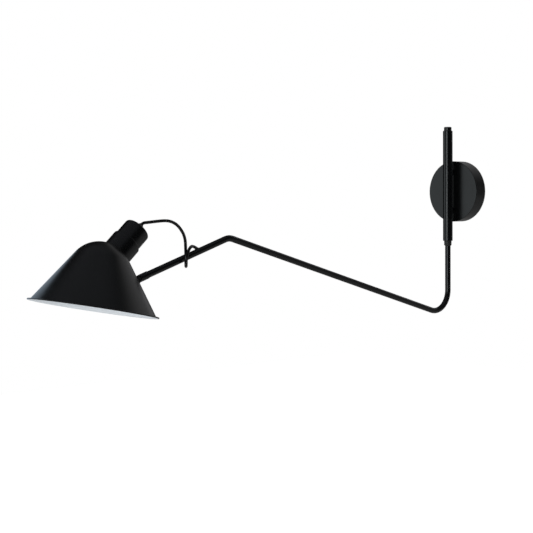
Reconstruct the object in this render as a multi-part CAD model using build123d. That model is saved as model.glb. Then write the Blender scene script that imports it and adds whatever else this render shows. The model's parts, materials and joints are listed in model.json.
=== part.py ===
from build123d import *
import math
import os

# Swing-arm wall lamp. Millimetres and degrees.
# Frame: origin at the middle of the canopy's back on the wall, +Z up, the room towards -Y.
# The whole lamp lies in the plane X = 0, square to the wall.

# ---- fits and small clearances ----
fit_gap = 0.02          # radial, parts fixed to each other
run_gap = 0.05          # radial, parts that turn on each other
face_gap = 0.05         # axial, faces that slide past each other
hole_gap = 0.2          # radial, a screw or stud in its plain hole
seat_gap = 0.05         # between two curved faces that rest on each other

# ---- canopy on the wall ----
canopy_d = 110.0
canopy_depth = 25.0
canopy_wall = 1.5
canopy_edge_r = 0.6
canopy_screw_depth = 8.0
canopy_screw_len = 7.0
canopy_screw_inset = 0.3
hex_key_af = 2.0
hex_key_depth = 2.5

# ---- bracket inside the canopy ----
bracket_w = 22.0
bracket_t = 1.5
bracket_ear_h = 13.0
bracket_ear_gap = 0.35
wall_hole_pitch = 50.0
wall_slot_len = 12.0
wall_slot_w = 5.0
m4_r = 2.0
m3_r = 1.5
earth_up = -15.0
earth_head_r = 3.4
earth_washer_r = 4.2
earth_washer_t = 1.0
screw_head_h = 2.4
screw_slot_w = 0.8

# ---- terminal block ----
block_w = 22.0
block_h = 16.0
block_depth = 14.0
pole_pitch = 11.0
clamp_od = 4.2
clamp_id = 2.8
clamp_inset = 0.5       # clamp's ends inside the housing
clamp_screw_len = 5.0
block_screw_head_r = 2.8
block_screw_sink = 1.0  # its head below the housing's top
lead_d = 1.9
lead_pitch = 2.1
lead_bend_r = 5.0
lead_turn_r = 4.0
lead_slack = 4.0        # leads reach out past the clamps before they turn down
lead_drop = 12.0

# ---- posts between canopy and sleeve ----
post_pitch = 70.0
post_d = 9.5
post_stud_d = 8.0
post_bore = 5.0
post_stud_len = 8.0
post_nut_af = 13.0
post_nut_h = 4.0
post_washer_d = 15.0
post_washer_t = 1.0

# ---- sleeve that the arm turns in ----
sleeve_gap = 4.8        # canopy face to sleeve
sleeve_d = 17.4
sleeve_bore = 14.0
sleeve_top = 110.0
sleeve_bottom = -90.0
sleeve_chamfer = 0.8
cap_d = 13.6
cap_h = 6.8
cap_spigot = 10.0
cap_chamfer = 1.0
nose_d = 13.4
nose_h = 9.0
nose_chamfer = 1.6
lower_bush_len = 18.0
upper_bush_len = 14.0
upper_bush_drop = 4.0   # arm tube's end above the upper bush
washer_t = 1.0
washer_gap = 0.2        # radial, loose on the arm tube
bore_play = 0.35        # radial, turning parts inside the sleeve
collar_h = 9.0
stop_lug_h = 8.0
stop_lug_angle = 99.0
stop_ring_h = 7.0
stop_play = 0.5
collar_screw_len = 1.4
collar_screw_access_d = 3.6

# ---- arm tube ----
tube_d = 10.0
tube_wall = 1.0
tube_top = 20.0
arm_drop = 227.5        # canopy centre down to the lower bend
arm_reach = 522.5       # from the sleeve axis out to the upper bend
long_rise = 16.5        # slope of the long run, degrees
short_fall = 18.1       # slope of the short run, degrees
lower_bend_r = 36.0
upper_bend_r = 25.0
cable_hole_at = 60.4    # from the upper bend along the short run
cable_hole_slant = 40.0 # hole's axis off the tube's normal, towards the shade

# ---- joint at the end of the arm ----
ferrule_at = 163.7      # from the upper bend
ferrule_wall = 0.65
ferrule_chamfer = 0.4
ferrule_socket = 11.0
ferrule_pin_d = 2.0
ferrule_pin_inset = 0.15
pivot_at = 185.0        # from the upper bend
tongue_t = 3.6
tongue_r = 5.0
shoulder_gap = 0.5
root_sink = 1.0         # how far tongue and stud reach into what carries them
disc_t = 0.5
disc_d = 9.4
cheek_t = 2.2
fork_r = 5.4
fork_base_d = 15.0
fork_base_h = 1.6
fork_stud_d = 6.0
fork_stud_end = 3.0     # stud past its nut
fork_nut_af = 10.0
fork_nut_h = 4.0
fork_washer_d = 14.0
fork_washer_t = 1.2
pivot_head_d = 7.0
pivot_head_h = 2.2
pivot_nut_af = 7.0
pivot_nut_h = 3.0
pivot_screw_end = 0.8   # screw past its nut

# ---- shade ----
shade_tilt = 11.7       # axis off the vertical, top towards the wall
shade_wall = 1.0
brim_w = 3.5            # brim past the cone
rim_bead_r = 1.1
brim_fillet = 2.0
cone_base_r = 90.0
cone_angle = 34.4
dome_r = 45.5
joint_height = 46.8     # joint's seat on the cone, along the shade axis
joint_reach = 9.2       # pivot to cone

# ---- lamp holder on the shade's shoulder ----
holder_lean = 36.1      # off the shade axis, towards the wall
skirt_rise = 19.8       # skirt's top above the dome
skirt_lip = 1.8         # skirt's wall round the cap
skirt_edge_r = 1.6
holder_cap_d = 40.0
holder_cap_side = 1.7
holder_cap_roof = 1.6
holder_cap_lap = 9.3    # cap's lower end inside the skirt
holder_cap_rise = 26.0  # cap's end above the skirt
holder_cap_edge_r = 3.0
body_wall = 3.3
body_in = 14.5          # body's mouth inside the dome
body_len = 47.0
ring_w = 5.7
ring_h = 5.0
core_h = 12.0
core_rise = 16.5        # core above the dome
shell_r = 13.7
shell_wall = 0.5
shell_wave = 0.45
shell_ribs = 5
shell_h = 19.0
contact_d = 7.0
contact_t = 1.0
contact_h = 3.0
gland_stem_d = 9.8
gland_stem_len = 8.0
gland_base_r = 5.4
gland_waist_r = 4.4
gland_tip_r = 3.6
gland_h = 9.0
gland_nut_af = 14.0
gland_nut_h = 3.0
inner_lead_gap = 1.0    # cable's inner end above the core

# ---- cord ----
cord_d = 4.6
cord_lead = 4.0         # straight out of the gland
cord_landing = 9.0      # straight into the grommet
cord_join = 6.0         # free cord meets the inner cable, from the tube's axis
grommet_stand = 0.6     # grommet's lip above the tube
grommet_wall = 0.9
inner_bend_r = 6.0

# Chosen points of the free cord between the gland and the arm, in the order the cord runs.
cord_route_mid = [
    (0.0, -718.2, -46.1),
    (0.0, -706.0, -45.2),
    (0.0, -690.5, -44.9),
    (0.0, -673.5, -46.0),
    (-0.7, -657.0, -53.4),
    (-3.0, -644.1, -69.1),
    (-12.0, -636.2, -91.5),
    (-10.0, -638.0, -113.6),
    (10.0, -653.0, -114.3),
    (12.6, -654.5, -97.6),
    (11.0, -646.0, -84.6),
]

BASE = (Align.CENTER, Align.CENTER, Align.MIN)
LUG = (Align.NONE, Align.NONE, Align.MIN)
OUT = Axis.Z


def rod(radius, height, start=0.0):
    """Cylinder along Z from start."""
    return Pos(0, 0, start) * Cylinder(radius, height, align=BASE)


def ring(outer_r, inner_r, height, start=0.0):
    """Plain ring along Z from start."""
    return rod(outer_r, height, start) - rod(inner_r, height, start)


def hexagon(across_flats, bore_r, height, start=0.0):
    """Hexagon nut along Z from start."""
    flat_side = RegularPolygon(across_flats / 2, 6, major_radius=False)
    return Pos(0, 0, start) * extrude(flat_side, height) - rod(bore_r, height, start)


def cross_rod(radius, length):
    """Cylinder along X, centred."""
    return Rot(0, 90, 0) * Cylinder(radius, length)


def pipe(path, radius):
    """Round bar along a path of straight runs and arcs."""
    start = Plane(origin=path @ 0, z_dir=path % 0)
    return sweep(start * Circle(radius), path=path)


def slotted_screw(radius, length, head_r, head_h):
    """Screw along Z: head from 0 down to -head_h, shank above 0, one slot in the head."""
    slot = Pos(0, 0, -head_h) * Box(2 * head_r, screw_slot_w, head_h)
    return rod(head_r, head_h, -head_h) + rod(radius, length) - slot


def save(name, *solids):
    """One file for each sub-part; fasteners of one kind share a file."""
    shape = solids[0] if len(solids) == 1 else Compound(children=list(solids))
    export_step(shape, f"parts/{name}.step")


os.makedirs("parts", exist_ok=True)

# ------------------------------------------------------------------
# wall mount: x across, y up, z out of the wall
# ------------------------------------------------------------------
wall = Plane(origin=(0, 0, 0), x_dir=(1, 0, 0), z_dir=(0, -1, 0))
canopy_r = canopy_d / 2
canopy_in_r = canopy_r - canopy_wall
posts_up = (post_pitch / 2, -post_pitch / 2)

canopy = rod(canopy_r, canopy_depth)
canopy = fillet(canopy.edges().sort_by(OUT)[-1], canopy_edge_r)
canopy -= rod(canopy_in_r, canopy_depth - canopy_wall)
for up in posts_up:
    canopy -= Pos(0, up, 0) * rod(post_stud_d / 2 + hole_gap, canopy_depth)
for side in (1, -1):
    side_hole = Rot(90, 0, 0) * Cylinder(m4_r + hole_gap, 4 * canopy_wall)
    canopy -= Pos(0, side * canopy_r, canopy_screw_depth) * side_hole
save("canopy", wall * canopy)

# Bracket strip with two ears that take the canopy's grub screws.
ear_face = math.sqrt(canopy_in_r**2 - (bracket_w / 2) ** 2) - bracket_ear_gap
bracket = Box(bracket_w, 2 * ear_face, bracket_t, align=BASE)
for side in (1, -1):
    ear = Box(bracket_w, bracket_t, bracket_ear_h, align=BASE)
    bracket += Pos(0, side * (ear_face - bracket_t / 2), 0) * ear
for side in (1, -1):
    ear_hole = Rot(90, 0, 0) * Cylinder(m4_r + fit_gap, 4 * bracket_t)
    bracket -= Pos(0, side * ear_face, canopy_screw_depth) * ear_hole
    slot = Rot(0, 0, 90) * SlotOverall(wall_slot_len, wall_slot_w)
    bracket -= Pos(0, side * wall_hole_pitch / 2, 0) * extrude(slot, bracket_t)
bracket -= Pos(0, earth_up, 0) * rod(m4_r + fit_gap, bracket_t)
bracket -= rod(m3_r + fit_gap, bracket_t)
save("wall_bracket", wall * bracket)

hex_socket = extrude(RegularPolygon(hex_key_af / 2, 6, major_radius=False), hex_key_depth)
grub = rod(m4_r, canopy_screw_len) - hex_socket
grubs = []
for side in (1, -1):
    place = Pos(0, side * (canopy_r - canopy_screw_inset), canopy_screw_depth) * Rot(side * 90, 0, 0)
    grubs.append(wall * place * grub)
save("canopy_screws", *grubs)

earth_seat = bracket_t + earth_washer_t
earth_screw = Rot(180, 0, 0) * slotted_screw(m4_r, earth_seat, earth_head_r, screw_head_h)
save("earth_screw", wall * Pos(0, earth_up, earth_seat) * earth_screw)
earth_washer = ring(earth_washer_r, m4_r + fit_gap, earth_washer_t, bracket_t)
save("earth_washer", wall * Pos(0, earth_up, 0) * earth_washer)

# Terminal block: housing, two brass clamps along the lead direction, four clamp screws, one fixing screw.
block_mid = bracket_t + block_depth / 2
block_top = bracket_t + block_depth
poles = (pole_pitch / 2, -pole_pitch / 2)
clamp_screw_up = (block_h / 4, -block_h / 4)
housing = Pos(0, 0, bracket_t) * Box(block_w, block_h, block_depth, align=BASE)
along_up = Rot(90, 0, 0)
for x in poles:
    housing -= Pos(x, 0, block_mid) * along_up * Cylinder(clamp_od / 2 + fit_gap, block_h)
    for up in clamp_screw_up:
        housing -= Pos(x, up, 0) * rod(m3_r + hole_gap, block_depth / 2, block_mid)
housing -= rod(m3_r + hole_gap, block_depth, bracket_t)
block_screw_seat = block_top - screw_head_h - block_screw_sink
housing -= rod(block_screw_head_r + 2 * hole_gap, block_depth, block_screw_seat)
save("terminal_block", wall * housing)

clamps = []
clamp_screws = []
for x in poles:
    clamp = along_up * Cylinder(clamp_od / 2, block_h - 2 * clamp_inset)
    clamp -= along_up * Cylinder(clamp_id / 2, block_h)
    for up in clamp_screw_up:
        clamp -= Pos(0, up, 0) * rod(m3_r + fit_gap, clamp_od)
        clamp_screw = rod(m3_r, clamp_screw_len, lead_d / 2 + seat_gap)
        clamp_screws.append(wall * Pos(x, up, block_mid) * clamp_screw)
    clamps.append(wall * Pos(x, 0, block_mid) * clamp)
save("terminal_clamps", *clamps)
save("terminal_screws", *clamp_screws)
block_screw = Rot(180, 0, 0) * slotted_screw(m3_r, block_screw_seat, block_screw_head_r, screw_head_h)
save("block_screw", wall * Pos(0, 0, block_screw_seat) * block_screw)

# Posts: a stud through the canopy, a shoulder on its face, a saddle on the sleeve.
sleeve_r = sleeve_d / 2
sleeve_out = canopy_depth + sleeve_gap + sleeve_r
post_from = canopy_depth - post_stud_len
for name, up in (("upper", posts_up[0]), ("lower", posts_up[1])):
    post = rod(post_d / 2, sleeve_gap + sleeve_r, canopy_depth)
    post += rod(post_stud_d / 2, post_stud_len, post_from)
    post -= Pos(0, 0, sleeve_out) * along_up * Cylinder(sleeve_r + fit_gap, 2 * post_d)
    post -= rod(post_bore / 2, sleeve_out, post_from)
    save(f"standoff_post_{name}", wall * Pos(0, up, 0) * post)

canopy_in = canopy_depth - canopy_wall
washer = ring(post_washer_d / 2, post_stud_d / 2 + fit_gap, post_washer_t, canopy_in - post_washer_t)
nut_at = canopy_in - post_washer_t - post_nut_h
nut = hexagon(post_nut_af, post_stud_d / 2 + fit_gap, post_nut_h, nut_at)
save("post_washers", *[wall * Pos(0, up, 0) * washer for up in posts_up])
save("post_nuts", *[wall * Pos(0, up, 0) * nut for up in posts_up])

# ------------------------------------------------------------------
# sleeve and what is in it: z up, on the arm's turning axis
# ------------------------------------------------------------------
swing = Pos(0, -sleeve_out, 0)
bore_r = sleeve_bore / 2
tube_r = tube_d / 2
in_sleeve_r = bore_r - fit_gap

sleeve = rod(sleeve_r, sleeve_top - sleeve_bottom, sleeve_bottom)
sleeve = chamfer(sleeve.edges().filter_by(GeomType.CIRCLE), sleeve_chamfer)
sleeve -= rod(bore_r, sleeve_top - sleeve_bottom, sleeve_bottom)
for up in posts_up:
    sleeve -= Pos(0, 0, up) * Rot(-90, 0, 0) * rod(post_bore / 2, sleeve_d)
lower_bush_top = sleeve_bottom + lower_bush_len
collar_from = lower_bush_top + washer_t + face_gap
collar_screw_up = collar_from + collar_h / 2
sleeve -= Pos(0, 0, collar_screw_up) * Rot(-90, 0, 0) * rod(collar_screw_access_d / 2, sleeve_d)
save("sleeve_tube", swing * sleeve)

cap = rod(in_sleeve_r, cap_spigot, sleeve_top - cap_spigot)
nub = rod(cap_d / 2, cap_h, sleeve_top)
cap += chamfer(nub.edges().sort_by(OUT)[-1], cap_chamfer)
save("sleeve_cap", swing * cap)

lower_bush = rod(in_sleeve_r, lower_bush_len, sleeve_bottom)
nose = rod(nose_d / 2, nose_h, sleeve_bottom - nose_h)
lower_bush += chamfer(nose.edges().sort_by(OUT)[0], nose_chamfer)
lower_bush -= rod(tube_r + run_gap, lower_bush_len + nose_h, sleeve_bottom - nose_h)
save("lower_bush", swing * lower_bush)

upper_bush_at = tube_top - upper_bush_drop - upper_bush_len
save("upper_bush", swing * ring(in_sleeve_r, tube_r + run_gap, upper_bush_len, upper_bush_at))
turning_r = bore_r - bore_play
save("thrust_washer", swing * ring(turning_r, tube_r + washer_gap, washer_t, lower_bush_top))

# Collar fixed on the arm tube, with a part-round lug that meets the lug of the fixed ring above.
collar_top = collar_from + collar_h
lug_turn = 90 - stop_lug_angle / 2
collar = ring(turning_r, tube_r + fit_gap, collar_h, collar_from)
lug = Cylinder(turning_r, stop_lug_h, arc_size=stop_lug_angle, align=LUG)
collar += Pos(0, 0, collar_top) * Rot(0, 0, lug_turn) * lug - rod(tube_r + fit_gap, stop_lug_h, collar_top)
collar -= Pos(0, 0, collar_screw_up) * Rot(-90, 0, 0) * rod(m3_r + fit_gap, sleeve_d)
save("stop_collar", swing * collar)
collar_screw = rod(m3_r, collar_screw_len, tube_r + fit_gap)
save("collar_screw", swing * Pos(0, 0, collar_screw_up) * Rot(-90, 0, 0) * collar_screw)

stop_from = collar_top + stop_lug_h + stop_play
fixed_lug = Cylinder(in_sleeve_r, stop_lug_h, arc_size=stop_lug_angle, align=LUG)
fixed_lug = Pos(0, 0, stop_from - stop_lug_h) * Rot(0, 0, lug_turn + 180) * fixed_lug
stop_ring = rod(in_sleeve_r, stop_ring_h, stop_from) + fixed_lug
stop_ring -= rod(tube_r + washer_gap, stop_ring_h + stop_lug_h, stop_from - stop_lug_h)
save("swing_stop_ring", swing * stop_ring)

# ------------------------------------------------------------------
# arm: leg, long run and short run of one bent tube
# ------------------------------------------------------------------
rise = math.radians(long_rise)
fall = math.radians(short_fall)
leg_top = Vector(0, -sleeve_out, tube_top)
low_corner = Vector(0, -sleeve_out, -arm_drop)
high_corner = low_corner + Vector(0, -arm_reach, arm_reach * math.tan(rise))
short_dir = Vector(0, -math.cos(fall), -math.sin(fall))
arm_up = Vector(0, -math.sin(fall), math.cos(fall))
tube_end = high_corner + short_dir * (ferrule_at + ferrule_socket)
bends = [lower_bend_r, upper_bend_r]
arm_path = FilletPolyline(leg_top, low_corner, high_corner, tube_end, radius=bends)
arm_tube = pipe(arm_path, tube_r) - pipe(arm_path, tube_r - tube_wall)

# Short run's own frame: x across, y up off the tube, z along the run from the upper bend.
run = Plane(origin=high_corner, x_dir=(1, 0, 0), z_dir=short_dir)
grommet_r = cord_d / 2 + grommet_wall
slant = math.radians(cable_hole_slant)
entry_dir = arm_up * math.cos(slant) + short_dir * math.sin(slant)
entry = Pos(0, 0, cable_hole_at) * Rot(cable_hole_slant - 90, 0, 0)
arm_tube -= run * entry * rod(grommet_r, 3 * tube_r)
pin_at = ferrule_at + ferrule_socket / 2
arm_tube -= run * Pos(0, 0, pin_at) * cross_rod(ferrule_pin_d / 2 + fit_gap, 2 * tube_d)
save("arm_tube", arm_tube)

# Grommet: a slanted tube, its lip following the arm tube just outside and its inner end the bore.
grommet = entry * ring(grommet_r - fit_gap, cord_d / 2 + run_gap, 3 * tube_r)
grommet &= rod(tube_r + grommet_stand, ferrule_at)
grommet -= rod(tube_r - tube_wall, ferrule_at)
save("arm_grommet", run * grommet)

# Cable inside the arm, from the grommet back to the top of the leg.
hole_axis = high_corner + short_dir * cable_hole_at
inner_start = hole_axis + entry_dir * cord_join
inner_radii = [inner_bend_r, upper_bend_r, lower_bend_r]
inner_path = FilletPolyline(inner_start, hole_axis, high_corner, low_corner, leg_top, radius=inner_radii)
save("arm_cable", pipe(inner_path, cord_d / 2))

ferrule_r = tube_r + ferrule_wall
shoulder_at = pivot_at - fork_r - shoulder_gap
ferrule = rod(ferrule_r, shoulder_at - ferrule_at, ferrule_at)
ferrule = chamfer(ferrule.edges().filter_by(GeomType.CIRCLE).sort_by(OUT)[0], ferrule_chamfer)
ferrule -= rod(tube_r + fit_gap, ferrule_socket, ferrule_at)
tongue_root = shoulder_at - root_sink
tongue = Pos(0, 0, tongue_root) * Box(tongue_t, 2 * tongue_r, pivot_at - tongue_root, align=BASE)
tongue += Pos(0, 0, pivot_at) * cross_rod(tongue_r, tongue_t)
ferrule += tongue
ferrule -= Pos(0, 0, pivot_at) * cross_rod(m4_r + run_gap, 4 * ferrule_r)
ferrule -= Pos(0, 0, pin_at) * cross_rod(ferrule_pin_d / 2 + fit_gap, 4 * ferrule_r)
save("arm_end_tongue", run * ferrule)
ferrule_pin = cross_rod(ferrule_pin_d / 2, 2 * (ferrule_r - ferrule_pin_inset))
save("ferrule_pin", run * Pos(0, 0, pin_at) * ferrule_pin)

# ------------------------------------------------------------------
# shade: z along its axis from the rim plane, y towards the wall
# ------------------------------------------------------------------
pivot = high_corner + short_dir * pivot_at
cone_rad = math.radians(cone_angle)
tilt_rad = math.radians(shade_tilt)
axis_dir = Vector(0, math.sin(tilt_rad), math.cos(tilt_rad))
side_dir = Vector(0, math.cos(tilt_rad), -math.sin(tilt_rad))
seat_r = cone_base_r - joint_height * math.tan(cone_rad)
pivot_r = seat_r + joint_reach * math.cos(cone_rad)
pivot_h = joint_height + joint_reach * math.sin(cone_rad)
rim_centre = pivot - side_dir * pivot_r - axis_dir * pivot_h
head = Plane(origin=rim_centre, x_dir=(1, 0, 0), z_dir=axis_dir)

dome_join = (dome_r * math.cos(cone_rad), dome_r * math.sin(cone_rad))
dome_centre_h = (cone_base_r - dome_join[0]) / math.tan(cone_rad) - dome_join[1]


def bell(inset, floor):
    """Solid of the shade's cone and dome, its wall moved in by inset, from height floor up."""
    base_r = cone_base_r - inset / math.cos(cone_rad) - floor * math.tan(cone_rad)
    r = dome_r - inset
    join = (r * math.cos(cone_rad), 0, dome_centre_h + r * math.sin(cone_rad))
    half = math.radians((90 + cone_angle) / 2)
    middle = (r * math.cos(half), 0, dome_centre_h + r * math.sin(half))
    top = (0, 0, dome_centre_h + r)
    sides = Polyline((0, 0, top[2]), (0, 0, floor), (base_r, 0, floor), join)
    return revolve(make_face([*sides.edges(), ThreePointArc(join, middle, top)]), Axis.Z)


shade = bell(0.0, 0.0)
bead_centre_r = cone_base_r + brim_w - rim_bead_r
shade += rod(bead_centre_r, shade_wall)
circles = shade.edges().filter_by(GeomType.CIRCLE)
circles_on_brim = circles.filter_by_position(OUT, shade_wall / 2, 2 * shade_wall)
shade = fillet(circles_on_brim.sort_by(SortBy.RADIUS)[0], brim_fillet)
shade += Pos(0, 0, shade_wall / 2) * Torus(bead_centre_r, rim_bead_r)
shade -= bell(shade_wall, -2 * shade_wall)

holder = Pos(0, 0, dome_centre_h) * Rot(-holder_lean, 0, 0)
flank = Pos(0, pivot_r, pivot_h) * Rot(90 + cone_angle, 0, 0)
holder_cap_r = holder_cap_d / 2
body_r = holder_cap_r - holder_cap_side
shade -= holder * rod(body_r + hole_gap, dome_r, dome_r / 2)
shade -= flank * rod(fork_stud_d / 2 + hole_gap, 3 * joint_reach)
save("shade", head * shade)

# Fork that carries the shade: z from the pivot into the shade's flank.
slot_w = tongue_t + 2 * disc_t + 4 * face_gap
cheek_out = slot_w / 2 + cheek_t
slot_bottom = tongue_r + shoulder_gap
fork = Box(2 * cheek_out, 2 * fork_r, slot_bottom, align=BASE) + cross_rod(fork_r, 2 * cheek_out)
fork += rod(ferrule_r, joint_reach + fork_base_h - slot_bottom, slot_bottom)
fork += rod(fork_base_d / 2, 2 * fork_base_h, joint_reach - fork_base_h)
fork -= Pos(0, 0, -2 * fork_r) * Box(slot_w, 3 * fork_r, slot_bottom + 2 * fork_r, align=BASE)
fork -= cross_rod(m4_r + fit_gap, 4 * cheek_out)
fork = flank * fork - bell(-fit_gap, 0.0)
stud_from = slot_bottom + root_sink
stud_to = joint_reach + shade_wall + fork_washer_t + fork_nut_h + fork_stud_end
fork += flank * rod(fork_stud_d / 2, stud_to - stud_from, stud_from)
save("joint_fork", head * fork)

# The washer inside the cone rests on its two sides, so it lies one sagitta below the wall.
cone_curve_r = (seat_r - shade_wall) / math.cos(cone_rad)
washer_sag = (fork_washer_d / 2) ** 2 / (2 * cone_curve_r)
fork_washer_at = joint_reach + shade_wall + washer_sag + seat_gap
fork_washer = ring(fork_washer_d / 2, fork_stud_d / 2 + fit_gap, fork_washer_t, fork_washer_at)
save("fork_washer", head * flank * fork_washer)
fork_nut = hexagon(fork_nut_af, fork_stud_d / 2 + fit_gap, fork_nut_h, fork_washer_at + fork_washer_t)
save("fork_nut", head * flank * fork_nut)

discs = []
for side in (1, -1):
    disc = ring(disc_d / 2, m4_r + fit_gap, disc_t, -disc_t / 2)
    disc_x = side * (tongue_t / 2 + face_gap + disc_t / 2)
    discs.append(head * flank * Pos(disc_x, 0, 0) * Rot(0, 90, 0) * disc)
save("friction_discs", *discs)
pivot_screw_len = 2 * cheek_out + pivot_nut_h + pivot_screw_end
pivot_screw = slotted_screw(m4_r, pivot_screw_len, pivot_head_d / 2, pivot_head_h)
save("pivot_screw", head * flank * Pos(cheek_out, 0, 0) * Rot(0, -90, 0) * pivot_screw)
pivot_nut = hexagon(pivot_nut_af, m4_r + fit_gap, pivot_nut_h)
save("pivot_nut", head * flank * Pos(-cheek_out, 0, 0) * Rot(0, -90, 0) * pivot_nut)

# ------------------------------------------------------------------
# lamp holder: z from the dome's centre out along the holder's axis
# ------------------------------------------------------------------
# The skirt stands on the dome and is held down by the cap's lower end, on a ledge inside.
skirt_top = dome_r + skirt_rise
cap_from = skirt_top - holder_cap_lap
cap_end = skirt_top + holder_cap_rise
skirt_bore_r = holder_cap_r + hole_gap
skirt = rod(skirt_bore_r + skirt_lip, skirt_top)
skirt = fillet(skirt.edges().sort_by(OUT)[-1], skirt_edge_r)
skirt -= rod(skirt_bore_r, holder_cap_lap, cap_from)
skirt -= rod(body_r + fit_gap, skirt_top)
save("holder_skirt", head * (holder * skirt - bell(-fit_gap, 0.0)))

holder_cap = rod(holder_cap_r, cap_end - cap_from, cap_from)
holder_cap = fillet(holder_cap.edges().sort_by(OUT)[-1], holder_cap_edge_r)
holder_cap -= rod(body_r + fit_gap, cap_end - holder_cap_roof - cap_from, cap_from)
holder_cap -= rod(gland_stem_d / 2 + fit_gap, cap_end)
save("holder_cap", head * holder * holder_cap)

# Body tube: passes through the shade and stands in both the skirt and the cap.
body_bore_r = body_r - body_wall
save("holder_body", head * holder * ring(body_r, body_bore_r, body_len, dome_r - body_in))

# Ring under the dome, on the body: its upper face follows the shade's inside.
ring_r = body_r + ring_w
ring_low = math.sqrt((dome_r - shade_wall) ** 2 - ring_r**2) - ring_h
shade_ring = holder * ring(ring_r, body_r + fit_gap, dome_r - ring_low, ring_low)
save("shade_ring", head * (shade_ring & bell(shade_wall + fit_gap, 0.0)))

core_at = dome_r + core_rise
core = rod(body_bore_r - fit_gap, core_h, core_at)
save("socket_core", head * holder * (core - rod(m3_r, core_h, core_at)))
half_rib = shell_h / (2 * shell_ribs)
shell_edges = []
for side_r in (shell_r + shell_wall / 2, shell_r - shell_wall / 2):
    for i in range(2 * shell_ribs):
        low = core_at - half_rib * (i + 1)
        bulge = shell_wave if i % 2 else -shell_wave
        crest = (side_r + bulge, 0, low + half_rib / 2)
        shell_edges.append(ThreePointArc((side_r, 0, low), crest, (side_r, 0, low + half_rib)))
for end in (core_at, core_at - shell_h):
    shell_edges.append(Line((shell_r - shell_wall / 2, 0, end), (shell_r + shell_wall / 2, 0, end)))
save("screw_shell", head * holder * revolve(make_face(shell_edges), Axis.Z))
contact = rod(contact_d / 2, contact_t, core_at - contact_h)
contact += rod(m3_r - fit_gap, contact_h + core_h, core_at - contact_h)
save("centre_contact", head * holder * contact)

# Gland: stem through the cap, a tapered sleeve outside that hollows in towards the cord.
gland_tip = cap_end + gland_h
gland_from = cap_end - gland_stem_len
gland = rod(gland_stem_d / 2, gland_stem_len, gland_from)
taper_low = (gland_base_r, 0, cap_end)
taper_mid = (gland_waist_r, 0, cap_end + gland_h / 3)
taper_high = (gland_tip_r, 0, gland_tip)
taper = ThreePointArc(taper_low, taper_mid, taper_high)
gland_sides = Polyline(taper_high, (0, 0, gland_tip), (0, 0, cap_end), taper_low)
gland += revolve(make_face([taper, *gland_sides.edges()]), Axis.Z)
gland -= rod(cord_d / 2 + fit_gap, gland_tip - gland_from, gland_from)
save("cord_gland", head * holder * gland)
gland_nut_at = cap_end - holder_cap_roof - gland_nut_h
gland_nut = hexagon(gland_nut_af, gland_stem_d / 2 + fit_gap, gland_nut_h, gland_nut_at)
save("gland_nut", head * holder * gland_nut)
holder_lead_from = core_at + core_h + inner_lead_gap
save("holder_cable", head * holder * rod(cord_d / 2, gland_tip - holder_lead_from, holder_lead_from))

# ------------------------------------------------------------------
# free cord: from the gland, over, down behind the arm, round it and into the grommet
# ------------------------------------------------------------------
cord_start = (head * holder * Pos(0, 0, gland_tip)).position
cord_out = (head * holder * Pos(0, 0, gland_tip + cord_lead)).position
cord_end = inner_start
cord_land = cord_end + entry_dir * cord_landing
route = [cord_start, cord_out, *[Vector(p) for p in cord_route_mid], cord_land, cord_end]
cord_radii = []
for before, corner, after in zip(route, route[1:], route[2:]):
    first, second = corner - before, after - corner
    turn = first.get_angle(second)
    shorter = min(first.length, second.length)
    cord_radii.append(0.45 * shorter / math.tan(math.radians(turn / 2)))
cord_path = FilletPolyline(*route, radius=cord_radii)
free_cord = pipe(cord_path, cord_d / 2)
save("free_cord", free_cord)
print("cord points", [tuple(round(c, 1) for c in p) for p in route])
print("cord runs", [round((b - a).length, 1) for a, b in zip(route, route[1:])])
print("cord radii", [round(r, 1) for r in cord_radii])
cord_section = math.pi * cord_d**2 / 4
print("cord length", round(cord_path.length, 1), "volume", round(free_cord.volume), "section x length",
      round(cord_section * cord_path.length))

# Leads from the arm's cable through the upper post to the terminal block.
leads = []
for side in (1, -1):
    lead_x = side * lead_pitch / 2
    pole_x = side * pole_pitch / 2
    lead_path = FilletPolyline(
        (lead_x, -sleeve_out, tube_top),
        (lead_x, -sleeve_out, posts_up[0]),
        (lead_x, -block_mid - lead_slack, posts_up[0]),
        (pole_x, -block_mid, posts_up[0] - lead_drop),
        (pole_x, -block_mid, 0.0),
        radius=[lead_bend_r, lead_turn_r, lead_bend_r],
    )
    leads.append(pipe(lead_path, lead_d / 2))
save("supply_leads", *leads)
print("pivot", tuple(pivot), "rim centre", tuple(rim_centre), "dome centre", dome_centre_h)
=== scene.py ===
# %% [markdown]
# # A black swing-arm wall lamp
# The lamp is a round canopy on the wall, a sleeve on two posts, a bent tube arm, and a cone shade with a
# slanted lamp holder. Nearly all of it is one finish, satin black paint, so the render stands or falls with
# two things: clean curved surfaces, and light that draws their edges against a white background.
#
# The sized model is loaded first and stays fixed. Most of its parts only get a material. Three pieces are
# made anew here as surfaces worked out with numpy: the two-coloured shade, the screw shell with its real
# thread, and the free cord.

# %% Load the sized model
import json
import math
import bpy
import numpy as np
from mathutils import Matrix, Vector


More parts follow.
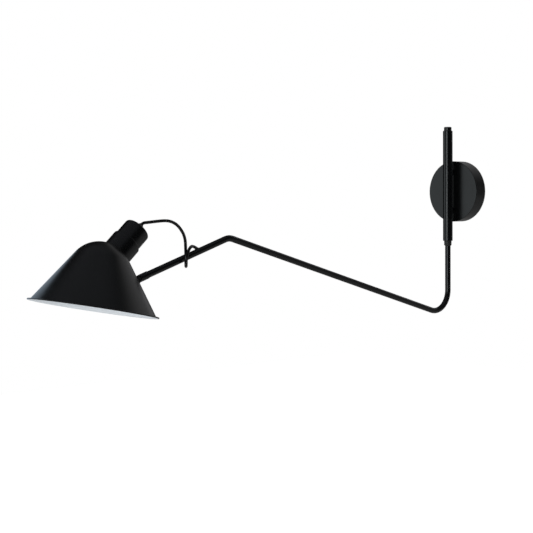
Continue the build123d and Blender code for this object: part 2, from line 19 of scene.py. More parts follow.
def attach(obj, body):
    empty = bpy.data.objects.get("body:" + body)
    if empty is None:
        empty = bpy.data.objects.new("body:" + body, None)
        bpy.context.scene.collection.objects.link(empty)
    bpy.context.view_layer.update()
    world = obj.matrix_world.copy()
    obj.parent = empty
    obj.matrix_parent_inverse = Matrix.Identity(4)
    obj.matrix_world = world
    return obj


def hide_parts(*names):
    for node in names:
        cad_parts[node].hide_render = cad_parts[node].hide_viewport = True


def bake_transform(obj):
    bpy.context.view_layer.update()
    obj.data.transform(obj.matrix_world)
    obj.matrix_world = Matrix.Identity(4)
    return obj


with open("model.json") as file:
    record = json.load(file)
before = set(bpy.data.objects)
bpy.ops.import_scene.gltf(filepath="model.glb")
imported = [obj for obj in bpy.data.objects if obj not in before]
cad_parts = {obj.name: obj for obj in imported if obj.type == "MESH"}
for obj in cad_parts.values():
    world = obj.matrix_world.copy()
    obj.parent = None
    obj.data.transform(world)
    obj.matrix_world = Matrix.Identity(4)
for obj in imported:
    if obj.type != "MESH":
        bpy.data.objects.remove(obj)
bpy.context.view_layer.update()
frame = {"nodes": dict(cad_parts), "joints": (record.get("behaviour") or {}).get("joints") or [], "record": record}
MM = 0.001

# %% [markdown]
# ## The camera
# The photo is a long-lens product shot from the left front, almost level. A long lens keeps parallel edges
# nearly parallel, so the sleeve and the shade look about equally large though one is 0.7 m further away.
# The camera is given by its place and by the directions in which its right side and its top point.

# %% Camera
CAMERA_AT = Vector((1.44488, -1.78173, -0.02799))
CAMERA_RIGHT = Vector((0.66855, 0.74363, -0.00773))
CAMERA_UP = Vector((-0.03008, 0.03743, 0.99885))
FRAME_PIXELS = 533
LENS_PIXELS = 1228
SENSOR_MM = 36.0


def make_camera():
    """A long-lens camera. The columns of its turn are right, up and backwards, made square to each other."""
    right = CAMERA_RIGHT.normalized()
    back = right.cross(CAMERA_UP).normalized()
    up = back.cross(right)
    data = bpy.data.cameras.new("photo_camera")
    data.sensor_width = SENSOR_MM
    data.lens = SENSOR_MM * LENS_PIXELS / FRAME_PIXELS
    data.clip_start = 0.05
    data.clip_end = 100.0
    camera = bpy.data.objects.new("photo_camera", data)
    bpy.context.scene.collection.objects.link(camera)
    turn = Matrix((right, up, back)).transposed()
    camera.matrix_world = Matrix.Translation(CAMERA_AT) @ turn.to_4x4()
    bpy.context.scene.camera = camera
    print("lens", round(data.lens, 1), "mm, looks along", tuple(round(v, 3) for v in -back))


make_camera()

# %% [markdown]
# ## Surfaces from arrays
# Every new piece is a grid of points: one direction runs along a profile or a path, the other goes round.
# Building the whole grid as one array and handing it to the mesh in a single call is fast, and the formula
# of the shape stays in one place. Where a ring has no radius, all its points are one: a pole.

# %% Helpers that turn a grid of points into a mesh
POLE = 1e-7


def grid_mesh(name, grid, close_rows=False, face_slot=None):
    """Mesh of an array (rows, round, 3). Each row is a closed ring. Rows may close on the first one, and a
    first or last row without radius becomes a single point with a fan of triangles. face_slot gives a
    material number for each strip between two rows."""
    rows, around, _ = grid.shape
    first_pole = not close_rows and np.ptp(grid[0], axis=0).max() < POLE
    last_pole = not close_rows and np.ptp(grid[-1], axis=0).max() < POLE
    count = rows * around
    strips = np.arange(rows if close_rows else rows - 1)
    low = strips[:, None] * around + np.arange(around)
    high = ((strips[:, None] + 1) % rows) * around + np.arange(around)
    quads = np.stack([low, np.roll(low, -1, 1), np.roll(high, -1, 1), high], axis=2)
    slots = np.repeat(strips[:, None] * 0 if face_slot is None else np.asarray(face_slot)[:, None], around, 1)
    index = np.arange(count)
    if first_pole:
        index[:around] = 0
    if last_pole:
        index[-around:] = count - around
    faces = index[quads.reshape(-1, 4)].tolist()
    faces = [[v for i, v in enumerate(f) if v != f[i - 1]] for f in faces]
    used = np.unique(index)
    new_number = np.zeros(count, int)
    new_number[used] = np.arange(len(used))
    faces = [[int(new_number[v]) for v in f] for f in faces]
    mesh = bpy.data.meshes.new(name)
    mesh.from_pydata(grid.reshape(-1, 3)[used].tolist(), [], faces)
    mesh.polygons.foreach_set("material_index", slots.reshape(-1).astype(np.int32))
    mesh.polygons.foreach_set("use_smooth", np.ones(len(faces), bool))
    mesh.update()
    return mesh


def add_piece(name, mesh, materials, body):
    """Object at the origin with its materials, riding on a body."""
    piece = bpy.data.objects.new(name, mesh)
    bpy.context.scene.collection.objects.link(piece)
    for material in materials:
        mesh.materials.append(material)
    if body:
        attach(piece, body)
    return piece


def ring_angles(count):
    """Evenly spaced angles once round, without the repeated last one."""
    return np.arange(count) * (2 * math.pi / count)


def lathe(radius, height, around):
    """Surface of revolution: the point (radius, height) of the profile at angle a stands at
    (radius cos a, radius sin a, height)."""
    a = ring_angles(around)
    r = np.asarray(radius)[:, None]
    h = np.asarray(height)[:, None]
    return np.stack([r * np.cos(a), r * np.sin(a), h + 0 * a], axis=2)


def place(grid, origin, x_dir, y_dir, z_dir):
    """The same points carried to a frame: origin + x along x_dir + y along y_dir + z along z_dir."""
    axes = np.array([x_dir, y_dir, z_dir], float)
    return grid @ axes + np.array(origin, float)


def arc(centre, radius, start, end, count):
    """Points on an arc in the (radius, height) plane, angles in degrees."""
    t = np.radians(np.linspace(start, end, count))
    return np.stack([centre[0] + radius * np.cos(t), centre[1] + radius * np.sin(t)], axis=1)


def face_outwards(mesh):
    """Turns the faces of a closed mesh outwards if its signed volume is negative."""
    mesh.calc_loop_triangles()
    points = np.empty(len(mesh.vertices) * 3)
    mesh.vertices.foreach_get("co", points)
    corners = np.empty(len(mesh.loop_triangles) * 3, np.int32)
    mesh.loop_triangles.foreach_get("vertices", corners)
    a, b, c = np.moveaxis(points.reshape(-1, 3)[corners.reshape(-1, 3)], 1, 0)
    volume = np.einsum("ij,ij->i", a, np.cross(b, c)).sum() / 6
    if volume < 0:
        mesh.flip_normals()
    print(mesh.name, "volume", round(abs(volume) * 1e6, 2), "cm3")


# %% [markdown]
# ## Where the head is
# The shade, the lamp holder and the knuckle share one frame: the middle of the rim, the shade's axis, and a
# direction in the rim plane that points towards the wall. The knuckle's pivot comes from the loaded joint,
# and the few sizes of the cone give the rest.

# %% Frames of the head
joints = {j["name"]: j for j in frame["joints"]}
pivot = np.array(joints["shade_tilt"]["pos_m"])
SHADE_TILT = math.radians(11.7)
CONE_ANGLE = math.radians(34.4)
CONE_BASE_R = 90.0 * MM
DOME_R = 45.5 * MM
SHEET = 1.0 * MM
JOINT_HEIGHT = 46.8 * MM
JOINT_REACH = 9.2 * MM
HOLDER_LEAN = math.radians(36.1)

X_DIR = np.array([1.0, 0.0, 0.0])
shade_up = np.array([0.0, math.sin(SHADE_TILT), math.cos(SHADE_TILT)])
shade_side = np.array([0.0, math.cos(SHADE_TILT), -math.sin(SHADE_TILT)])
seat_r = CONE_BASE_R - JOINT_HEIGHT * math.tan(CONE_ANGLE)
pivot_r = seat_r + JOINT_REACH * math.cos(CONE_ANGLE)
pivot_h = JOINT_HEIGHT + JOINT_REACH * math.sin(CONE_ANGLE)
rim_centre = pivot - shade_side * pivot_r - shade_up * pivot_h
cone_top_r = DOME_R * math.cos(CONE_ANGLE)
dome_centre_h = (CONE_BASE_R - cone_top_r) / math.tan(CONE_ANGLE) - DOME_R * math.sin(CONE_ANGLE)
dome_centre = rim_centre + shade_up * dome_centre_h
holder_out = shade_side * math.sin(HOLDER_LEAN) + shade_up * math.cos(HOLDER_LEAN)
holder_up = shade_up * math.sin(HOLDER_LEAN) - shade_side * math.cos(HOLDER_LEAN)
print("rim centre", rim_centre.round(4), "dome centre", dome_centre.round(4))

# %% [markdown]
# ## Shared shader effects
# Three effects turn up in several finishes, so each is a node group with its own inputs. *Skin grain* is the
# fine, uneven surface of sprayed paint or moulded plastic: two noises of different size, given out as a
# height for a Bump node and as a slight change of roughness. *Edge wear* finds edges by comparing the true
# normal with a rounded one: where they differ, the surface is bent. *Dust* lies where a face looks up.

# %% Node group helpers
def new_group(name, inputs, outputs):
    """Empty shader node group with float inputs (name, default) and outputs (name, socket type)."""
    group = bpy.data.node_groups.new(name, "ShaderNodeTree")
    for label, value in inputs:
        socket = group.interface.new_socket(name=label, in_out="INPUT", socket_type="NodeSocketFloat")
        socket.default_value = value
    for label, kind in outputs:
        group.interface.new_socket(name=label, in_out="OUTPUT", socket_type=kind)
    ins = group.nodes.new("NodeGroupInput")
    outs = group.nodes.new("NodeGroupOutput")
    return group, ins, outs


def add_node(tree, kind, **settings):
    """Node of a kind. Settings that name an input set its value; the others are the node's own options."""
    node = tree.nodes.new(kind)
    for key, value in settings.items():
        if key in node.inputs:
            node.inputs[key].default_value = value
        else:
            setattr(node, key, value)
    return node


def math_node(tree, operation, first, second, clamp=False):
    """Math node between two values, each a number or a socket."""
    node = tree.nodes.new("ShaderNodeMath")
    node.operation = operation
    node.use_clamp = clamp
    for socket, value in zip(node.inputs, (first, second)):
        if isinstance(value, bpy.types.NodeSocket):
            tree.links.new(value, socket)
        else:
            socket.default_value = value
    return node.outputs[0]


# %% Skin grain
COARSE_SCALE = 0.31
COARSE_SHARE = 0.6
BROAD_SCALE = 26.0


def make_skin_grain():
    """Height and roughness shift of a sprayed or moulded skin. Height = fine noise + a share of a coarser
    one. Shift = spread times (a broad noise - 0.5), so it goes up as often as down."""
    group, ins, outs = new_group(
        "skin_grain",
        [("Size", 900.0), ("Spread", 0.05)],
        [("Height", "NodeSocketFloat"), ("Shift", "NodeSocketFloat")],
    )
    links = group.links
    where = group.nodes.new("ShaderNodeTexCoord").outputs["Object"]
    fine = add_node(group, "ShaderNodeTexNoise", Detail=2.0, Roughness=0.5)
    coarse = add_node(group, "ShaderNodeTexNoise", Detail=1.0)
    broad = add_node(group, "ShaderNodeTexNoise", Scale=BROAD_SCALE, Detail=3.0)
    for node in (fine, coarse, broad):
        links.new(where, node.inputs["Vector"])
    links.new(ins.outputs["Size"], fine.inputs["Scale"])
    links.new(math_node(group, "MULTIPLY", ins.outputs["Size"], COARSE_SCALE), coarse.inputs["Scale"])
    coarse_part = math_node(group, "MULTIPLY", coarse.outputs["Fac"], COARSE_SHARE)
    links.new(math_node(group, "ADD", fine.outputs["Fac"], coarse_part), outs.inputs["Height"])
    about_zero = math_node(group, "SUBTRACT", broad.outputs["Fac"], 0.5)
    links.new(math_node(group, "MULTIPLY", about_zero, ins.outputs["Spread"]), outs.inputs["Shift"])
    return group


skin_grain = make_skin_grain()
grain_sockets = skin_grain.interface.items_tree
print("group", skin_grain.name, "gives", [s.name for s in grain_sockets if s.in_out == "OUTPUT"])

# %% Edge wear and dust
WEAR_STEEPNESS = 9.0
WEAR_PATCHES = 160.0
DUST_SPECKS = 420.0
DUST_SHARPNESS = 3.0


def make_edge_wear():
    """Mask of rubbed edges: 1 minus the dot product of the true and the rounded normal, made steeper,
    then broken up by a noise so that the rubbing isn't even."""
    group, ins, outs = new_group(
        "edge_wear",
        [("Width", 0.0006), ("Amount", 0.5)],
        [("Mask", "NodeSocketFloat")],
    )
    links = group.links
    rounded = add_node(group, "ShaderNodeBevel", samples=4)
    links.new(ins.outputs["Width"], rounded.inputs["Radius"])
    straight = group.nodes.new("ShaderNodeNewGeometry").outputs["Normal"]
    dot = group.nodes.new("ShaderNodeVectorMath")
    dot.operation = "DOT_PRODUCT"
    links.new(rounded.outputs["Normal"], dot.inputs[0])
    links.new(straight, dot.inputs[1])
    bent = math_node(group, "SUBTRACT", 1.0, dot.outputs["Value"])
    steep = math_node(group, "MULTIPLY", bent, WEAR_STEEPNESS, clamp=True)
    where = group.nodes.new("ShaderNodeTexCoord").outputs["Object"]
    patchy = add_node(group, "ShaderNodeTexNoise", Scale=WEAR_PATCHES, Detail=3.0)
    links.new(where, patchy.inputs["Vector"])
    patches = math_node(group, "MULTIPLY", steep, patchy.outputs["Fac"])
    links.new(math_node(group, "MULTIPLY", patches, ins.outputs["Amount"]), outs.inputs["Mask"])
    return group


def make_dust():
    """Mask of fine dust: how much the face looks up, times a sharpened noise, times the amount."""
    group, ins, outs = new_group("dust", [("Amount", 0.3)], [("Mask", "NodeSocketFloat")])
    links = group.links
    normal = group.nodes.new("ShaderNodeNewGeometry").outputs["Normal"]
    parts = group.nodes.new("ShaderNodeSeparateXYZ")
    links.new(normal, parts.inputs[0])
    up = math_node(group, "MAXIMUM", parts.outputs["Z"], 0.0)
    where = group.nodes.new("ShaderNodeTexCoord").outputs["Object"]
    specks = add_node(group, "ShaderNodeTexNoise", Scale=DUST_SPECKS, Detail=5.0, Roughness=0.7)
    links.new(where, specks.inputs["Vector"])
    sharp = math_node(group, "POWER", specks.outputs["Fac"], DUST_SHARPNESS)
    lying = math_node(group, "MULTIPLY", up, sharp)
    links.new(math_node(group, "MULTIPLY", lying, ins.outputs["Amount"]), outs.inputs["Mask"])
    return group


edge_wear = make_edge_wear()
dust = make_dust()
print("groups", edge_wear.name, dust.name)

# %% [markdown]
# ## The finishes
# Every finish is one Principled shader whose plain numbers are set on its own sockets, and whose colour,
# roughness and normal are fed by the groups. A table of values per finish keeps them easy to compare: the
# satin paint and the cord are both black, and differ mostly in how they shine.

# %% A finish from the shared groups
MOTTLE_SCALE = 38.0
WORN_SMOOTHER = 0.15
DUST_ROUGHER = 0.5
DUST_COLOUR = (0.35, 0.34, 0.32)
COAT_ROUGHNESS = 0.1


def mix_colour(tree, factor, first, second):
    """Colour mix of two colours, each a tuple or a socket, by a factor socket."""
    node = tree.nodes.new("ShaderNodeMix")
    node.data_type = "RGBA"
    tree.links.new(factor, node.inputs[0])
    for socket, value in ((node.inputs[6], first), (node.inputs[7], second)):
        if isinstance(value, bpy.types.NodeSocket):
            tree.links.new(value, socket)
        else:
            socket.default_value = (*value, 1.0)
    return node.outputs[2]


def put_group(tree, group, **values):
    """Group node with its own values."""
    node = tree.nodes.new("ShaderNodeGroup")
    node.node_tree = group
    for key, value in values.items():
        node.inputs[key.capitalize()].default_value = value
    return node


def finish_of(name, colour, rough, metal=0.0, grain=900.0, bump=0.02, spread=0.06, worn=None, wear=0.0,
              dusty=0.0, coat=0.0, mottle=0.0):
    """Material: base colour, mottled by a broad noise, worn at the edges and dusted on top; roughness
    shifted by the skin grain; bump from the grain's height, bump millimetres deep."""
    material = bpy.data.materials.new(name)
    material.use_nodes = True
    tree = material.node_tree
    links = tree.links
    shader = tree.nodes["Principled BSDF"]
    shader.inputs["Metallic"].default_value = metal
    shader.inputs["Coat Weight"].default_value = coat
    shader.inputs["Coat Roughness"].default_value = COAT_ROUGHNESS
    skin = put_group(tree, skin_grain, size=grain, spread=spread)
    broad = add_node(tree, "ShaderNodeTexNoise", Scale=MOTTLE_SCALE, Detail=4.0)
    links.new(tree.nodes.new("ShaderNodeTexCoord").outputs["Object"], broad.inputs["Vector"])
    lighter = tuple(min(1.0, c * (1 + mottle)) for c in colour)
    darker = tuple(c * (1 - mottle) for c in colour)
    paint = mix_colour(tree, broad.outputs["Fac"], darker, lighter)
    rough_now = math_node(tree, "ADD", skin.outputs["Shift"], rough)
    if wear:
        rubbed = put_group(tree, edge_wear, amount=wear).outputs["Mask"]
        paint = mix_colour(tree, rubbed, paint, worn)
        smoother = math_node(tree, "MULTIPLY", rubbed, WORN_SMOOTHER)
        rough_now = math_node(tree, "SUBTRACT", rough_now, smoother)
    if dusty:
        lying = put_group(tree, dust, amount=dusty).outputs["Mask"]
        paint = mix_colour(tree, lying, paint, DUST_COLOUR)
        rougher = math_node(tree, "MULTIPLY", lying, DUST_ROUGHER)
        rough_now = math_node(tree, "ADD", rough_now, rougher, clamp=True)
    links.new(paint, shader.inputs["Base Color"])
    links.new(rough_now, shader.inputs["Roughness"])
    bumps = add_node(tree, "ShaderNodeBump", Strength=1.0, Distance=bump * MM)
    links.new(skin.outputs["Height"], bumps.inputs["Height"])
    links.new(bumps.outputs["Normal"], shader.inputs["Normal"])
    return material


# %% [markdown]
# The satin black paint is almost without colour of its own: what is seen of it is the soft reflection of the
# room. On the drawn tubes and the holder it lies smoother than on the spun shade and the pressed canopy. The
# white paint inside the shade is matt, so that it spreads the lamp's light. Plated steel, brass and nickel
# are metals with little colour difference between them; their roughness tells them apart.

# %% All finishes
black_paint = finish_of("satin_black_paint", (0.0016, 0.0018, 0.0021), 0.29, grain=1500.0, bump=0.005,
                        worn=(0.03, 0.03, 0.03), wear=0.2, dusty=0.02, mottle=0.12)
tube_paint = finish_of("smooth_black_paint", (0.0014, 0.0016, 0.0019), 0.22, grain=1300.0, bump=0.0008,
                       worn=(0.03, 0.03, 0.03), wear=0.2, dusty=0.02, mottle=0.12)
white_paint = finish_of("matt_white_paint", (0.72, 0.76, 0.795), 0.55, grain=1300.0, bump=0.012,
                        worn=(0.6, 0.6, 0.6), wear=0.1, mottle=0.02)
zinc_plate = finish_of("zinc_plate", (0.56, 0.56, 0.54), 0.36, metal=1.0, grain=600.0, bump=0.008,
                       spread=0.2, mottle=0.08)
brass = finish_of("turned_brass", (0.62, 0.45, 0.2), 0.3, metal=1.0, grain=800.0, bump=0.006, mottle=0.06)
nickel = finish_of("nickel_shell", (0.62, 0.6, 0.56), 0.22, metal=1.0, grain=500.0, bump=0.004, mottle=0.04)
ceramic = finish_of("white_ceramic", (0.78, 0.77, 0.73), 0.28, grain=300.0, bump=0.01, coat=0.4, mottle=0.02)
moulding = finish_of("black_moulding", (0.012, 0.012, 0.012), 0.45, grain=1100.0, bump=0.02, mottle=0.1)
sheath = finish_of("cord_sheath", (0.0016, 0.0016, 0.0018), 0.2, grain=700.0, bump=0.001, mottle=0.1)
insulation = finish_of("lead_insulation", (0.06, 0.09, 0.2), 0.4, grain=900.0, bump=0.01, mottle=0.05)

FINISHES = {
    "black_paint": black_paint,
    "white_paint": white_paint,
    "zinc_steel": zinc_plate,
    "brass": brass,
    "nickel_shell": nickel,
    "white_ceramic": ceramic,
    "black_plastic": moulding,
    "black_cord": sheath,
    "lead_insulation": insulation,
}
SMOOTH_PIECES = ("sleeve_tube", "sleeve_cap", "arm_tube", "arm_end_tongue", "standoff_post_upper",
                 "standoff_post_lower", "holder_skirt", "holder_cap")
for part in frame["record"]["subparts"]:
    node = frame["nodes"][part["node"]]
    node.data.materials.clear()
    finish = tube_paint if part["node"] in SMOOTH_PIECES else FINISHES[part["material_slot"]]
    node.data.materials.append(finish)
print("finishes", sorted(FINISHES))

# %% [markdown]
# ## The shade
# A spun steel shade: a straight cone under a round dome, a narrow brim turned out at the foot, and its edge
# rolled to a bead. It is black outside and white inside, and the colours meet on the bead's underside.
# A closed profile turned about the axis gives both skins and their thickness at once, and lets each strip of
# faces take its own colour.

# %% Shade
BEAD_R = 1.1 * MM
BRIM_W = 3.5 * MM
FOOT_R = 2.0 * MM
SHADE_AROUND = 256
DOME_POINTS = 48
CONE_POINTS = 26
FOOT_POINTS = 10
BLACK_BEAD_POINTS = 22
WHITE_BEAD_POINTS = 10


def shade_profile():
    """Profile from the outer top down the dome, cone, brim and bead, back under the brim and up inside.
    Returns the points (radius, height) and how many of them are black."""
    lean = math.degrees(CONE_ANGLE)
    tan = math.tan(CONE_ANGLE)
    cos = math.cos(CONE_ANGLE)
    bead_centre = (CONE_BASE_R + BRIM_W - BEAD_R, SHEET / 2)
    bead_turn = math.degrees(math.asin(SHEET / 2 / BEAD_R))

    def skin(inset, foot_r, floor):
        """Dome, cone and foot fillet of one skin, its wall moved in by inset, above the brim at floor."""
        dome = arc((0.0, dome_centre_h), DOME_R - inset, 90.0, lean, DOME_POINTS)
        side = CONE_BASE_R - inset / cos
        foot_h = floor + foot_r
        foot_centre = (side - foot_h * tan + foot_r / cos, foot_h)
        foot = arc(foot_centre, foot_r, 180.0 + lean, 270.0, FOOT_POINTS)
        steps = np.linspace(0, 1, CONE_POINTS)[1:-1, None]
        cone = dome[-1] * (1 - steps) + foot[0] * steps
        return np.concatenate([dome, cone, foot])

    outer = skin(0.0, FOOT_R, SHEET)
    inner = skin(SHEET, FOOT_R + SHEET, 0.0)
    black_bead = arc(bead_centre, BEAD_R, 180.0 - bead_turn, -90.0, BLACK_BEAD_POINTS)
    white_bead = arc(bead_centre, BEAD_R, -90.0, -180.0 + bead_turn, WHITE_BEAD_POINTS)[1:]
    black = np.concatenate([outer, black_bead])
    return np.concatenate([black, white_bead, inner[::-1]]), len(black)


def make_shade():
    """The profile turned about the shade's axis, its strips black up to the bead's lowest line."""
    profile, black_count = shade_profile()
    profile[0, 0] = profile[-1, 0] = 0.0
    grid = place(lathe(profile[:, 0], profile[:, 1], SHADE_AROUND), rim_centre, X_DIR, shade_side, shade_up)
    strips = np.arange(len(profile) - 1)
    mesh = grid_mesh("shade_shell", grid, face_slot=(strips >= black_count - 1).astype(int))
    face_outwards(mesh)
    piece = add_piece("shade_shell", mesh, [black_paint, white_paint], "head")
    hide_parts("shade")


make_shade()

# %% [markdown]
# ## The screw shell
# A lamp's screw base turns into a thin nickel-plated shell whose thread is rolled into the sheet, so inside
# and outside wave together. Stacked rings would look alike from the side but not from below. One formula
# makes the real helix: the radius follows a sine of the height minus the angle round the axis.

# %% Screw shell
SHELL_R = 13.7 * MM
SHELL_WALL = 0.5 * MM
SHELL_WAVE = 0.45 * MM
SHELL_PITCH = 3.62 * MM
SHELL_FROM = 43.0 * MM
SHELL_TO = 62.0 * MM
SHELL_ROWS = 73
SHELL_AROUND = 96


def helix_wall(radius, height, around):
    """Threaded wall: at height h and angle a the radius is r + wave sin(2 pi h / pitch - a)."""
    a = ring_angles(around)
    h = np.asarray(height)[:, None]
    r = radius + SHELL_WAVE * np.sin(2 * math.pi * h / SHELL_PITCH - a)
    return np.stack([r * np.cos(a), r * np.sin(a), h + 0 * a], axis=2)


def make_screw_shell():
    """Outer wall upwards, then the inner wall downwards, closed to a ring of rows about the holder's axis."""
    height = np.linspace(SHELL_FROM, SHELL_TO, SHELL_ROWS)
    outside = helix_wall(SHELL_R + SHELL_WALL / 2, height, SHELL_AROUND)
    inside = helix_wall(SHELL_R - SHELL_WALL / 2, height[::-1], SHELL_AROUND)
    grid = place(np.concatenate([outside, inside]), dome_centre, X_DIR, holder_up, holder_out)
    mesh = grid_mesh("threaded_shell", grid, close_rows=True)
    face_outwards(mesh)
    piece = add_piece("threaded_shell", mesh, [nickel], "head")
    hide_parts("screw_shell")


make_screw_shell()

# %% [markdown]
# ## The free cord
# A thin round cable comes straight out of the gland, stands up in a loose bow, goes down behind the arm, once
# round it, up over it and into the grommet. It could be a curve with a round bevel, but the shade tilts and
# the cord has to bend with it, which needs a mesh. So its line is a NURBS curve through listed control
# points, read back as points, and a circle is carried along them. The frames along the line are turned back
# by the twist they would gather, so that the sheath isn't wrung.

# %% Cord line
CORD_R = 2.3 * MM
CORD_POINTS_MM = [
    (0.0, -726.9, -50.6),
    (0.0, -724.0, -47.9),
    (0.0, -715.5, -47.3),
    (0.0, -698.7, -45.9),
    (0.0, -683.0, -44.9),
    (0.0, -671.0, -46.6),
    (-0.7, -657.9, -53.3),
    (-3.0, -644.1, -69.3),
    (-12.0, -636.2, -91.5),
    (-10.0, -638.0, -113.6),
    (10.0, -653.0, -114.3),
    (12.6, -654.5, -97.6),
    (11.0, -646.0, -84.6),
    (0.0, -631.1, -83.6),
    (0.0, -623.5, -88.3),
]
CORD_AROUND = 28
CORD_ORDER = 3
CORD_STEPS = 16


def cord_line():
    """Points along the NURBS line of the cord, as an array in metres."""
    curve = bpy.data.curves.new("cord_line", "CURVE")
    curve.dimensions = "3D"
    spline = curve.splines.new("NURBS")
    spline.points.add(len(CORD_POINTS_MM) - 1)
    places = np.ones((len(CORD_POINTS_MM), 4))
    places[:, :3] = np.array(CORD_POINTS_MM) * MM
    spline.points.foreach_set("co", places.ravel())
    spline.order_u = CORD_ORDER
    spline.use_endpoint_u = True
    spline.resolution_u = CORD_STEPS
    carrier = bpy.data.objects.new("cord_line", curve)
    bpy.context.scene.collection.objects.link(carrier)
    bpy.context.view_layer.update()
    mesh = bpy.data.meshes.new_from_object(carrier)
    points = np.empty(len(mesh.vertices) * 3)
    mesh.vertices.foreach_get("co", points)
    bpy.data.objects.remove(carrier)
    bpy.data.meshes.remove(mesh)
    return points.reshape(-1, 3)


def carried_frames(line):
    """Two normals along a line. They start as the cross product of the tangent with a fixed helper
    direction; the angle by which each is turned against its neighbour, laid over by the shortest turn of
    the tangent, is added up along the line and taken out again."""
    tangent = np.gradient(line, axis=0)
    tangent /= np.linalg.norm(tangent, axis=1)[:, None]
    helper = np.array([0.35, 0.55, 0.76])
    side = np.cross(tangent, helper)
    side /= np.linalg.norm(side, axis=1)[:, None]
    other = np.cross(tangent, side)
    flat = side[:-1] - (side[:-1] * tangent[1:]).sum(1)[:, None] * tangent[1:]
    turn = np.arctan2((flat * other[1:]).sum(1), (flat * side[1:]).sum(1))
    angle = np.concatenate([[0.0], np.cumsum(turn)])[:, None]
    cos = np.cos(angle)
    sin = np.sin(angle)
    return side * cos + other * sin, other * cos - side * sin


def tube_grid(line, radius, around):
    """Circle of a radius carried along a line, closed by a pole at each end."""
    side, other = carried_frames(line)
    a = ring_angles(around)
    circle = side[:, None] * np.cos(a)[:, None] + other[:, None] * np.sin(a)[:, None]
    rings = line[:, None] + radius * circle
    ends = [np.repeat(line[i][None, None], around, 1) for i in (0, -1)]
    return np.concatenate([ends[0], rings, ends[1]])


def make_cord():
    """The cord as a mesh tube along its line. It rides on no body."""
    line = cord_line()
    mesh = grid_mesh("flex", tube_grid(line, CORD_R, CORD_AROUND))
    face_outwards(mesh)
    piece = add_piece("flex", mesh, [sheath], None)
    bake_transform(piece)
    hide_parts("free_cord")


make_cord()

# %% [markdown]
# ## The light
# A black object in front of white is drawn by reflections. The studio is therefore painted into the world as
# a few soft round glows on dark: a cool wall to the left front, which the canopy's face mirrors, a small
# bright lamp in front, which draws the line down the sleeve, a dim wall behind, a fainter one to the right
# of it, and a faint ceiling. Only glossy and transmitted rays see this picture. The camera sees plain white,
# and diffuse light is an even pale grey, so that white paint renders as white. A glow in the world is equally
# far from every piece, so the highlight that widens down the shade's left flank comes from a card close
# beside it. Two large soft lamps, from the front and from above, light only matt surfaces.

# %% World, lamps and floor
DIFFUSE_LEVEL = 0.8
STUDIO_DARK = 0.01
GLOWS = [  # towards, colour, widest and full angle in degrees
    ((-0.635, -0.773, 0.0), (0.9, 0.98, 1.01), 25.0, 6.0),
    ((0.3, -0.954, 0.0), (4.0, 4.3, 4.4), 12.0, 5.0),
    ((-0.13, 0.93, 0.34), (0.35, 0.35, 0.355), 42.0, 12.0),
    ((0.635, 0.773, 0.0), (0.12, 0.12, 0.12), 20.0, 8.0),
    ((0.1, -0.25, 0.95), (0.12, 0.127, 0.142), 60.0, 25.0),
]
FLOOR_Z = -1.3
FLOOR_SIZE = 12.0
FLOOR_COLOUR = (0.8, 0.8, 0.8, 1.0)
FLOOR_ROUGHNESS = 0.9
FLOOR_SHINE = 0.9
FLOOR_IN_GLOSS = 0.26


def studio_picture(tree):
    """Colour of the studio in a direction: the dark level plus each glow, whose strength rises smoothly
    with the cosine between the direction and the glow's middle."""
    links = tree.links
    direction = tree.nodes.new("ShaderNodeTexCoord").outputs["Generated"]
    total = None
    for towards, colour, widest, full in GLOWS:
        cosine = tree.nodes.new("ShaderNodeVectorMath")
        cosine.operation = "DOT_PRODUCT"
        links.new(direction, cosine.inputs[0])
        cosine.inputs[1].default_value = Vector(towards).normalized()
        rise = add_node(tree, "ShaderNodeMapRange", interpolation_type="SMOOTHSTEP")
        links.new(cosine.outputs["Value"], rise.inputs["Value"])
        rise.inputs["From Min"].default_value = math.cos(math.radians(widest))
        rise.inputs["From Max"].default_value = math.cos(math.radians(full))
        glow = tree.nodes.new("ShaderNodeVectorMath")
        glow.operation = "MULTIPLY_ADD"
        links.new(rise.outputs["Result"], glow.inputs[0])
        glow.inputs[1].default_value = colour
        if total is None:
            glow.inputs[2].default_value = (STUDIO_DARK,) * 3
        else:
            links.new(total, glow.inputs[2])
        total = glow.outputs["Vector"]
    return total


def make_world():
    """Even grey for diffuse light, the studio's picture for glossy and transmitted rays, white for the
    camera."""
    world = bpy.data.worlds.new("studio")
    bpy.context.scene.world = world
    world.use_nodes = True
    tree = world.node_tree
    rays = tree.nodes.new("ShaderNodeLightPath").outputs
    shiny = math_node(tree, "MAXIMUM", rays["Is Glossy Ray"], rays["Is Transmission Ray"])
    seen = mix_colour(tree, shiny, (DIFFUSE_LEVEL,) * 3, studio_picture(tree))
    seen = mix_colour(tree, rays["Is Camera Ray"], seen, (1.0, 1.0, 1.0))
    tree.links.new(seen, tree.nodes["Background"].inputs["Color"])


def soft_box(name, at, aim, size, watts, colour=(1.0, 1.0, 1.0), only_gloss=False):
    """Rectangular area lamp at a place, turned towards a point. It either lights matt surfaces or is only
    seen in reflections."""
    data = bpy.data.lights.new(name, "AREA")
    data.shape = "RECTANGLE"
    data.size, data.size_y = size
    data.energy = watts
    data.color = colour
    lamp = bpy.data.objects.new(name, data)
    bpy.context.scene.collection.objects.link(lamp)
    lamp.location = at
    lamp.rotation_mode = "QUATERNION"
    lamp.rotation_quaternion = (Vector(aim) - Vector(at)).to_track_quat("-Z", "Y")
    lamp.visible_camera = False
    lamp.visible_diffuse = not only_gloss
    lamp.visible_glossy = only_gloss


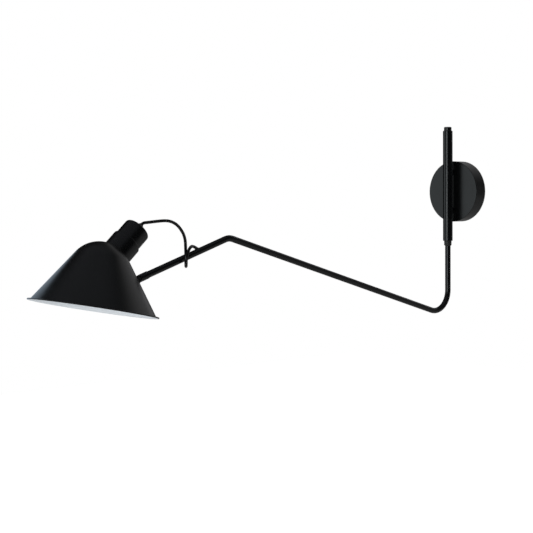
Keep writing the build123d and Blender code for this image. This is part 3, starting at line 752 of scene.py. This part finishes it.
def make_floor():
    """Pale floor: lit like any surface, and shining besides to the camera, so that it joins the white
    background and still holds a shadow. Shiny surfaces see it as the same plain grey all over, and from
    below it can be seen through."""
    material = bpy.data.materials.new("pale_floor")
    material.use_nodes = True
    tree = material.node_tree
    links = tree.links
    shader = tree.nodes["Principled BSDF"]
    shader.inputs["Base Color"].default_value = FLOOR_COLOUR
    shader.inputs["Roughness"].default_value = FLOOR_ROUGHNESS
    rays = tree.nodes.new("ShaderNodeLightPath").outputs
    to_camera = tree.nodes.new("ShaderNodeEmission")
    links.new(math_node(tree, "MULTIPLY", rays["Is Camera Ray"], FLOOR_SHINE), to_camera.inputs["Strength"])
    lit = tree.nodes.new("ShaderNodeAddShader")
    links.new(shader.outputs[0], lit.inputs[0])
    links.new(to_camera.outputs[0], lit.inputs[1])
    to_gloss = tree.nodes.new("ShaderNodeEmission")
    to_gloss.inputs["Strength"].default_value = FLOOR_IN_GLOSS
    either = tree.nodes.new("ShaderNodeMixShader")
    shiny = math_node(tree, "MAXIMUM", rays["Is Glossy Ray"], rays["Is Transmission Ray"])
    links.new(shiny, either.inputs["Fac"])
    links.new(lit.outputs[0], either.inputs[1])
    links.new(to_gloss.outputs[0], either.inputs[2])
    from_below = tree.nodes.new("ShaderNodeMixShader")
    links.new(tree.nodes.new("ShaderNodeNewGeometry").outputs["Backfacing"], from_below.inputs["Fac"])
    links.new(either.outputs[0], from_below.inputs[1])
    links.new(tree.nodes.new("ShaderNodeBsdfTransparent").outputs[0], from_below.inputs[2])
    links.new(from_below.outputs[0], tree.nodes["Material Output"].inputs["Surface"])
    half = FLOOR_SIZE / 2
    mesh = bpy.data.meshes.new("floor")
    corners = [(-half, -half, FLOOR_Z), (half, -half, FLOOR_Z), (half, half, FLOOR_Z), (-half, half, FLOOR_Z)]
    mesh.from_pydata(corners, [], [(0, 1, 2, 3)])
    mesh.materials.append(material)
    floor = bpy.data.objects.new("floor", mesh)
    bpy.context.scene.collection.objects.link(floor)


make_world()
make_floor()
soft_box("front", at=(0.58, -2.4, 0.1), aim=(0.0, -0.04, 0.0), size=(0.8, 2.4), watts=12.0)
soft_box("ceiling", at=(-0.6, -1.6, 2.2), aim=(0.0, -0.5, -0.2), size=(1.6, 1.6), watts=16.0)
soft_box("side_card", at=(-0.2, -0.88, -0.155), aim=(-0.05, -0.87, -0.145), size=(0.26, 0.26), watts=0.13,
         colour=(0.76, 0.93, 1.12), only_gloss=True)
print("glows", len(GLOWS), "lamps", [light.name for light in bpy.data.lights])

bpy.context.scene.view_settings.view_transform = "Standard"
